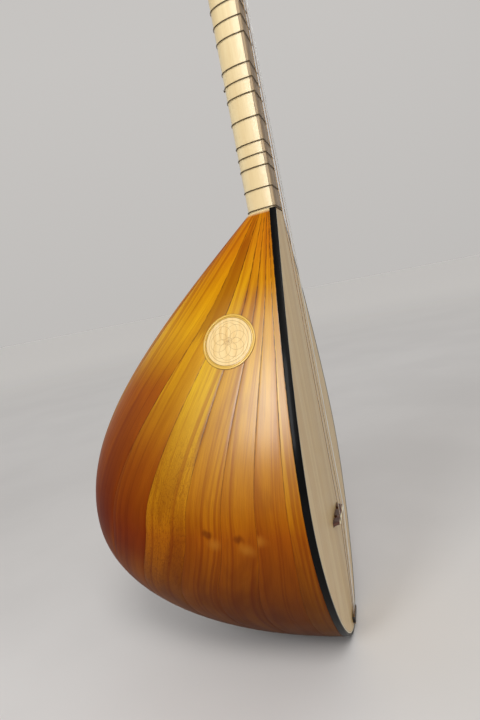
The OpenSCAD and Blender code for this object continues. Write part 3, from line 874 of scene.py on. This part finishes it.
def neck():
    """The neck behind the fingerboard. Its upper end is cut along the back of the tilted head."""
    first = math.asin(((FINGER_T + GAP / 2) / NECK_DEPTH) ** (ROUNDNESS / 2))
    phi = np.linspace(first, math.pi - first, 49)
    rings = []
    for t in np.linspace(0, 1, 60):
        half = NECK_HALF + (NUT_HALF_W - NECK_HALF) * t
        xy = section(half, NECK_DEPTH, ROUNDNESS, phi)
        top = HEAD_Z - GAP / 2 - xy[:, 1] * math.tan(HEAD_TILT)
        rings.append(xyz(*xy.T, BOWL_LEN + (top - BOWL_LEN) * t))
    part("neck", "neck_wood", rings, NECK_WOOD)


def fingerboard():
    """A thin strip with round corners that narrows to the nut."""
    rings = [xyz(*round_box(-neck_half(z), neck_half(z), 0, FINGER_T, 0.3 * MM).T, z)
             for z in np.linspace(low("fingerboard").z, FINGER_TOP, 60)]
    part("fingerboard", "fingerboard_wood", rings, FINGER)


neck()
fingerboard()

HEAD = Matrix.Translation((0, 0, HEAD_Z)) @ Matrix.Rotation(-HEAD_TILT, 4, "X")


def head_value(z, column):
    """A value of the head's sections at z: half width (1), depth (2) or roundness (3)."""
    heights, *values = zip(*HEAD_SECTIONS)
    return float(np.interp(z, heights, values[column - 1]))


def peg_place(i):
    """The frame of peg i, counted from 0: its shaft's own +Z points out of the head."""
    if i < len(FRONT_PEGS):
        x, z = FRONT_PEGS[i]
        place, turn = (x, 0, z), Matrix.Rotation(math.pi / 2, 4, "X")
    else:
        z = SIDE_PEGS[i - len(FRONT_PEGS)]
        place, turn = (-head_value(z, 1), SIDE_PEG_Y, z), Matrix.Rotation(-math.pi / 2, 4, "Y")
    return HEAD @ Matrix.Translation([v * MM for v in place]) @ turn


def peg_inside(i):
    """The length of peg i in the head, in millimetres."""
    if i < len(FRONT_PEGS):
        return head_value(FRONT_PEGS[i][1], 2)
    return 2 * head_value(SIDE_PEGS[i - len(FRONT_PEGS)], 1)


def headstock():
    """The head: flat in front with eased corners, drilled for the pegs."""
    phi = np.linspace(0, math.pi, 41)
    rings = []
    for z in (0, 0.6, 3, 7, 11, 15, 19, 22, 30, 45, 70, 95, 120, 145, 160, 167, 171, 174, 175.4, 176):
        half, deep, power = (head_value(z, c) for c in (1, 2, 3))
        xy = section(half, deep, power, phi)
        ease = 1.0 if z < 174 else 1.6
        front = [(half - 0.1 * ease, 0.35 * ease), (half - 0.45 * ease, 0.08 * ease),
                 (half - 1.2 * ease, 0)]
        xy[0], xy[-1] = (-half, 1.0), (half, 1.0)
        loop = [*xy, *front, *[(x, 0) for x in np.linspace(half - 3, -half + 3, 5)],
                *[(-x, y) for x, y in front[::-1]]]
        rings.append(xyz(*np.array(loop).T, z) * MM)
    obj = loft("look_headstock", moved(rings, HEAD), NECK_WOOD)
    drills = []
    for i in range(len(STRINGS)):
        radius, past = PEG_R + 0.06, 3
        deep = peg_inside(i) + past
        profile = [(radius - PEG_TAPER * deep, -deep), (radius + PEG_TAPER * past, past)]
        drills.append(turned(f"drill_{i}", profile, peg_place(i), NECK_WOOD, 48))
    for drill in drills:
        cut = obj.modifiers.new("drill", "BOOLEAN")
        cut.object, cut.operation, cut.solver = drill, "DIFFERENCE", "EXACT"
    mesh = bpy.data.meshes.new_from_object(obj.evaluated_get(bpy.context.evaluated_depsgraph_get()))
    obj.modifiers.clear()
    obj.data = mesh
    for drill in drills:
        bpy.data.objects.remove(drill)
    on(tidy_mesh(obj, 40), ROOT, "neck_wood", "headstock")


headstock()


def notched(half, column, offsets, width):
    """Places across a nut or saddle, and how deep each lies in a string's notch, from 0 to 1."""
    at = [s[column] for s in STRINGS]
    places = sorted({*np.linspace(-half, half, 61), *(x + d for x in at for d in offsets)})
    return [(x, max(max(0, 1 - ((x - s) / width) ** 2) for s in at) ** 0.5) for x in places]


def nut():
    """Bone, with a notch for each string."""
    half = NUT_HALF_W / MM
    rings = []
    for x, notch in notched(half, 2, (-0.45, -0.25, 0, 0.25, 0.45), 0.42):
        end = max(0, abs(x) - half + 1.2) / 1.2
        top = -1.95 + 0.42 * notch + 0.7 * end ** 2
        arch = [(x, 0.5 - (0.5 - top) * math.sin(a), 2 * math.cos(a)) for a in np.linspace(0, math.pi, 9)]
        rings.append(np.array([*arch, (x, 2.5, -2), (x, 2.5, 2)]) * MM + [0, 0, NUT_Z])
    part("nut", "bone", rings, BONE)


nut()


# ---- bridge and string holder ----
def bridge():
    """A low bridge: tapered ends, two arched feet and a thin upper edge."""
    half, top = BRIDGE_HALF / MM, -BRIDGE_Y / MM
    rings = []
    for x in np.linspace(-half, half, 97):
        height = np.interp(half - abs(x), [0, 2, 3.5, 4.5, half], [0.5, 3.4, top - 0.1, top, top])
        arch = max(math.sqrt(max(0, 3.2 ** 2 - (x - s * half * 0.42) ** 2)) for s in (-1, 1))
        foot = min(0.05 + arch, height - 0.3)
        side = np.array([(foot, 2.5), (foot + 0.25 * (height - foot), 2.55),
                         (foot + 0.7 * (height - foot), 1.75), (height - 0.25, 1.35), (height, 1.1)])
        loop = np.vstack([side * [-1, 1], -side[::-1]])
        rings.append(xyz(x, *loop.T) * MM + [0, 0, BRIDGE_Z])
    part("bridge", "bridge_wood", rings, BRIDGE_WOOD, grain=np.array(rings)[..., [0, 2, 1]])


def saddle():
    """The bone strip on the bridge, notched under each string."""
    half = BRIDGE_HALF / MM - 4
    top = -BRIDGE_Y / MM
    rings = []
    for x, notch in notched(half, 1, (-0.4, -0.2, 0, 0.2, 0.4), 0.38):
        h = top + 1.28 - 0.26 * notch - 0.5 * max(0, abs(x) - half + 0.8) ** 2
        loop = [(-top, 0.95), (-h + 0.3, 0.9), (-h + 0.06, 0.6), (-h, 0), (-h + 0.06, -0.6),
                (-h + 0.3, -0.9), (-top, -0.95)]
        rings.append(xyz(x, *np.array(loop).T) * MM + [0, 0, BRIDGE_Z])
    part("bridge_saddle", "bone", rings, BONE)


def string_holder():
    """A dark block at the tail with rounded shoulders."""
    lo, hi = low("string_holder"), high("string_holder")
    rings = []
    for t in np.linspace(0, 1, 15):
        z = lo.z + (hi.z - lo.z) * t
        ease = 0.9 * MM * max(0, abs(2 * t - 1) * 1.25 - 0.25) ** 3
        loop = round_box(lo.x + ease, hi.x - ease, lo.y + ease, hi.y, 0.8 * MM, 4)
        rings.append(xyz(*loop.T, z))
    part("string_holder", "dark_wood", rings, DARK)


bridge()
saddle()
string_holder()

HOLDER_END = (low("string_holder").z / MM, high("string_holder").z / MM)


def eyelets():
    """A metal ring at each end of each hole through the holder."""
    turn, reach = circle(20), 0.75
    parts = []
    for s in STRINGS:
        for z in (HOLDER_END[0] - 0.1, HOLDER_END[1] + 0.1):
            ring = xyz(s[0] + reach * np.cos(turn), HOLDER_Y + reach * np.sin(turn), z)
            parts.append(tube("eyelet", ring * MM, 0.22 * MM, WOUND_WIRE, 8, True))
    on(joined("look_string_eyelets", parts), ROOT, "wound_string")


eyelets()


# ---- strings ----
def peg_of_string(i):
    """The peg that string i runs to: the side pegs take the first strings."""
    sides = len(SIDE_PEGS)
    return i + len(FRONT_PEGS) if i < sides else i - sides


def hand(i):
    """Which side of its front peg string i passes: the first of them to the left."""
    return -1 if i == len(SIDE_PEGS) else 1


def string_way(i):
    """The string's path in metres, from its ball behind the holder to where it meets its peg."""
    s = STRINGS[i]
    path = [(s[0], HOLDER_Y, HOLDER_END[0] - 1.5), (s[0], HOLDER_Y, HOLDER_END[1] + 0.5),
            (s[1], BRIDGE_Y / MM - 1.3, BRIDGE_Z / MM), (s[2], NUT_Y, NUT_Z / MM)]
    path = [np.array(p) * MM for p in path]
    if i < len(SIDE_PEGS):
        z = SIDE_PEGS[i]
        bend_z = z - 12
        on_head = [(-head_value(bend_z, 1) - 0.45, -0.45, bend_z),
                   (-head_value(z, 1) - WIND_AT, SIDE_PEG_Y - WIND_OFFSET, z)]
    else:
        x, z = FRONT_PEGS[peg_of_string(i)]
        on_head = [(x + hand(i) * WIND_OFFSET, -WIND_AT, z)]
    path += list(moved(np.array(on_head) * MM, HEAD))
    step, before_bend = 25 * MM, 0.5 * MM
    dense = [path[0]]
    for a, b in zip(path, path[1:]):
        count = max(2, int(np.linalg.norm(b - a) / step))
        dense += [a + (b - a) * t for t in np.linspace(0, 1, count + 1)[1:]]
        dense.insert(-1, b - unit(b - a) * before_bend)
    return np.array(dense)


def ball_end(i):
    """The small turned ball that holds a string behind the holder."""
    s = STRINGS[i]
    place = Matrix.Translation((s[0] * MM, HOLDER_Y * MM, (HOLDER_END[0] - 1.2) * MM))
    profile = [(0.02, -0.95), (0.5, -0.8), (0.85, -0.3), (0.85, 0.3), (0.5, 0.8), (0.02, 0.95)]
    return turned("ball", profile, place, WOUND_WIRE, 16)


def wire(i):
    """The slot and the material of string i."""
    return ("wound_string", WOUND_WIRE) if i in WOUND else ("plain_string", PLAIN_WIRE)


def strings(node, which):
    parts = [tube(f"string_{i}", string_way(i), STRINGS[i][3] * MM, wire(i)[1]) for i in which]
    on(joined(f"look_{node}", parts), ROOT, wire(which[0])[0], node)


strings("strings_wound", WOUND)
strings("strings_plain", [i for i in range(len(STRINGS)) if i not in WOUND])
on(joined("look_string_balls", [ball_end(i) for i in range(len(STRINGS))]), ROOT, "wound_string")


def winding(i):
    """The turns of string i round its peg. They turn with the peg."""
    peg = peg_of_string(i)
    matrix = peg_place(peg)
    radius = STRINGS[i][3]
    end = moved(string_way(i)[-1], matrix.inverted()) / MM
    start = math.atan2(end[1], end[0])
    winds = 1 if i < len(SIDE_PEGS) else -hand(i)
    turns = 5.5
    t = np.linspace(0, 1, int(turns * 22) + 1)
    angle = start + winds * 2 * math.pi * turns * t
    height = WIND_AT + (2 * radius + 0.04) * turns * (t if i % 2 else -t * 0.75)
    reach = PEG_R + PEG_TAPER * height + radius
    path = xyz(reach * np.cos(angle), reach * np.sin(angle), height)
    tail = path[-1] * [0.6, 0.6, 1] + [0, 0, 0.1]
    path = moved(np.vstack([path, tail]) * MM, matrix)
    slot, material = wire(i)
    obj = tube(f"look_winding_{i + 1}", path, radius * MM, material, 8)
    on(obj, f"peg_{peg + 1}", slot)


for number in range(len(STRINGS)):
    winding(number)


# ---- pegs ----
def peg_bar(number, place, angle):
    """The peg's T-shaped handle: two lobes with a dip between them, turned by angle degrees."""
    turn = circle(28)
    c, s = (np.sign(w) * np.abs(w) ** 0.85 for w in (np.cos(turn), np.sin(turn)))
    rings = []
    for x in np.concatenate([[-13.97, -13.7, -13], np.linspace(-12, 12, 33), [13, 13.7, 13.97]]):
        inner = min(1, abs(x) / 9.5)
        lobe = math.sqrt(max(0.02, 4.5 ** 2 - max(0, abs(x) - 9.5) ** 2))
        top = 25 + lobe - 1.1 * (1 - inner ** 2) ** 2
        bottom = 25 - lobe * (0.75 + 0.25 * inner) - 5.2 * math.exp(-(x / 4.2) ** 2)
        thick = 3.7 * (lobe / 4.5) ** 0.8 * (0.72 + 0.28 * min(1, abs(x) / 8.5) ** 2)
        rings.append(xyz(x, thick * c, (top + bottom) / 2 + (top - bottom) / 2 * s))
    rings = np.array(rings) * MM
    at = place @ Matrix.Rotation(math.radians(angle), 4, "Z")
    return loft("bar", moved(rings, at), PEG_WOOD, crease=60, grain=rings + [0, 0, 0.1 * number])


def peg(i):
    """A turned, tapered shaft with a bead, and its handle at an angle of its own."""
    number, place = i + 1, peg_place(i)
    tip = peg_inside(i) + 1.5
    end = PEG_R - PEG_TAPER * tip
    taper = [(PEG_R + PEG_TAPER * z, z) for z in np.linspace(-tip + 2, 12.6, 12)]
    shaft = turned("shaft", [(0.3, -tip), (end - 0.7, -tip), (end - 0.2, -tip + 0.25), (end, -tip + 0.8),
                   *taper, (4.25, 13.2), (4.5, 13.5), (5.2, 13.9), (5.5, 14.6), (5.45, 15.3),
                   (5.1, 15.8), (4.4, 16.1), (3.7, 16.4), (3.5, 17.2), (3.6, 18.2), (3.2, 19.2),
                   (0.3, 19.6)], place, PEG_WOOD)
    bar = peg_bar(number, place, 25 + 50 * number if i < len(FRONT_PEGS) else 10 + 40 * number)
    on(joined(f"look_peg_{number}", [shaft, bar]), f"peg_{number}", "peg_wood", f"peg_{number}")


for number in range(len(STRINGS)):
    peg(number)


# ---- tied frets ----
FRETS = 19
BACK_POINTS = 81


def fret(number):
    """Two turns of twisted thread round the neck, tied at the back."""
    node = f"fret_{number:02d}"
    z = middle(node)
    gap, spread, thread_r = 0.52 * MM, 0.27 * MM, 0.25 * MM
    half, deep = neck_half(z) + gap, NECK_DEPTH + gap
    body = section(half, deep, ROUNDNESS, np.linspace(0.03, math.pi - 0.03, BACK_POINTS))
    corner = [(half - 0.12 * MM, -0.25 * MM), (half - 0.5 * MM, -0.48 * MM), (half - 1.2 * MM, -gap)]
    front = [(x, -gap) for x in np.linspace(half - 3 * MM, -half + 3 * MM, 12)]
    loop = np.array([*body, *corner, *front, *[(-x, y) for x, y in corner[::-1]]])
    wave = 0.04 * MM * np.sin(np.linspace(0, 14 + number, len(loop)))
    parts = [tube("turn", xyz(*loop.T, z + side + wave), thread_r, CORD, 8, True)
             for side in (-spread, spread)]
    at = {12: 0.5, FRETS: 0.93}.get(number, 0.8 + 0.05 * math.sin(2.4 * number))
    parts += knot(loop, at, z)
    on(joined(f"look_{node}", parts), node, "fret_cord", node)


def knot(loop, share, z):
    """A small overhand knot on the thread, with two cut ends."""
    i = int(share * (BACK_POINTS - 1))
    p = loop[i]
    out = unit(np.array([p[0] / NECK_HALF ** 2, p[1] / NECK_DEPTH ** 2, 0]))
    way = np.array([-out[1], out[0], 0])
    up = np.array([0, 0, 1.0])
    base = np.array([p[0], p[1], z]) + out * 0.45 * MM
    t = circle(36)
    curl = (np.sin(t) + 2 * np.sin(2 * t))[:, None] * way + (np.cos(t) - 2 * np.cos(2 * t))[:, None] * up
    curl = base + MM * 0.26 * curl + MM * 0.16 * (1 - np.sin(3 * t))[:, None] * out
    ends = []
    for side in (-1, 1):
        s = np.linspace(0, 1, 6)[:, None]
        end = side * (0.3 + 1.3 * s) * way + (0.25 + 0.5 * s) * out + 0.5 * s ** 2 * side * up
        ends.append(tube("end", base + MM * end, 0.26 * MM, CORD, 6))
    return [tube("curl", curl, 0.27 * MM, CORD, 6, True), *ends]


for number in range(1, FRETS + 1):
    fret(number)


# ---- floor, light and camera ----
AWAY = (0.956, 0.269, 0)
FLOOR_HALF, FLOOR_Z = 30, -0.0002


def floor_material():
    """Pale grey, lighter far off, with a faint glow behind the object as seen in the photo."""
    n = new_material("floor")
    place = n.place()
    tone = n.mix(n.rise(n.noise(place, 3, 3, 3), 0.35, 0.65), "dbd9d8", "d6d4d3")
    far = n.calc("DIVIDE", n.vector("LENGTH", place), 6)
    tone = n.mix(n.rise(far, 0.12, 1.0), tone, "fdfbf8")
    along = n.calc("DIVIDE", n.vector("DOT_PRODUCT", place, AWAY), 4)
    n.feed(n.shader["Emission Strength"], n.times(n.rise(along, 0.02, 0.4), 0.112))
    return n.finish(tone, 0.55, n.noise(place, 400, 400, 400, detail=2), 0.02)


corners = [(x * FLOOR_HALF, y * FLOOR_HALF, FLOOR_Z) for x, y in ((-1, -1), (1, -1), (1, 1), (-1, 1))]
floor = mesh_object("floor", corners, [(0, 1, 2, 3)], floor_material())


def area_light(name, place, target, width, height, power, colour):
    data = bpy.data.lights.new(name, "AREA")
    data.shape, data.size, data.size_y, data.energy, data.color = "RECTANGLE", width, height, power, colour
    obj = new_object(name, data)
    obj.location = place
    obj.rotation_euler = (Vector(target) - Vector(place)).to_track_quat("-Z", "Y").to_euler()


area_light("key", (-1.25, -0.45, 1.85), (0, 0.08, 0.3), 0.9, 0.9, 22, (1.0, 0.98, 0.95))
area_light("window", (-1.32, 0.46, 0.93), (-0.06, 0.03, 0.27), 0.32, 0.75, 9, (0.95, 0.98, 1.0))

# The backdrop is even where the camera sees it. What the object reflects dims to one side.
world = bpy.data.worlds.new("studio")
bpy.context.scene.world = world
sky = Nodes(world, "Background")
way = sky.add("TexCoord").outputs["Generated"]
dim = sky.ramp(sky.vector("DOT_PRODUCT", way, (-0.5, 0.85, 0.15)), (0.35, 0.46), (0.95, 0.14))
dim = sky.mix(sky.add("LightPath").outputs["Is Camera Ray"], dim, (0.46, 0.46, 0.46))
dim = sky.times(dim, sky.ramp(sky.axes(way)[2], (0.0, 0.88), (0.4, 0.95), kind="LINEAR"))
glow = sky.rise(sky.vector("DOT_PRODUCT", way, (0.955, 0.266, 0.13)), 0.35, 0.95)
glow = sky.calc("MULTIPLY_ADD", glow, 0.3, 1.0)
sky.feed(sky.shader["Strength"], sky.times(dim, glow))
sky.shader["Color"].default_value = (1.0, 0.97, 0.94, 1)

camera_data = bpy.data.cameras.new("camera")
camera_data.sensor_width = 36
camera_data.lens = 27.15
camera_data.clip_start, camera_data.clip_end = 0.01, 100
camera = new_object("camera", camera_data)
azimuth, elevation, roll = (math.radians(a) for a in (-74.26, 6.71, -11.2))
distance = 0.53755
target = Vector((0.00018, 0.06534, 0.28588))
flat = math.cos(elevation)
back = Vector((math.sin(azimuth) * flat, -math.cos(azimuth) * flat, math.sin(elevation)))
camera.location = target + back * distance
camera.rotation_mode = "QUATERNION"
right = (-back).cross(Vector((0, 0, 1))).normalized()
over = right.cross(-back)
level = Matrix((right, over, back)).transposed()
camera.rotation_quaternion = (level @ Matrix.Rotation(roll, 3, "Z")).to_quaternion()
bpy.context.scene.camera = camera
bpy.context.scene.view_settings.view_transform = "Standard"
